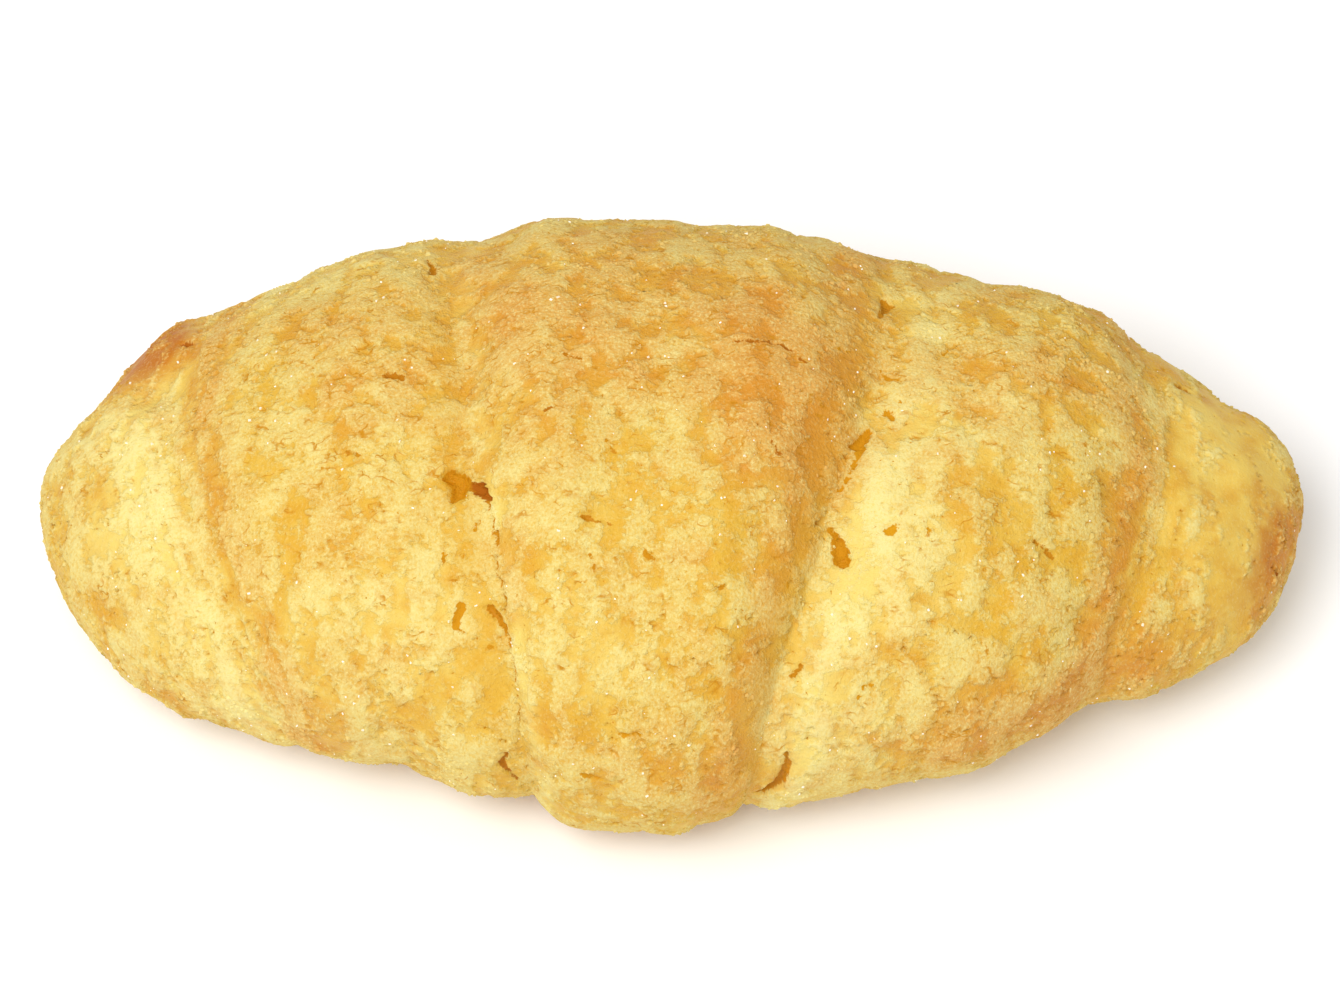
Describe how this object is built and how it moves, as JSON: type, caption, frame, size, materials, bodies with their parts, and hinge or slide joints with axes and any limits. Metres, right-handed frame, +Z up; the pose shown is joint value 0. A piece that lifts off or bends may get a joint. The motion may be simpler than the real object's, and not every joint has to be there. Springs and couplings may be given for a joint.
{
  "type": "croissant-shaped sweet roll",
  "caption": "Spindle-shaped roll of sweet dough wound in broad turns, with a pale gold crackled biscuit crust.",
  "frame": {"origin": "middle of the footprint, at the level of the surface that the roll rests on", "axes": "+X along the roll from its left tip to its right tip, +Y from its front to its back, +Z up"},
  "size_m": [0.1414, 0.0696, 0.0492],
  "materials": {
    "biscuit_crust": "matte baked crust, pale gold with tan flakes and browner ridges"
  },
  "bodies": {
    "root": {"croissant": "biscuit_crust"}
  },
  "joints": []
}
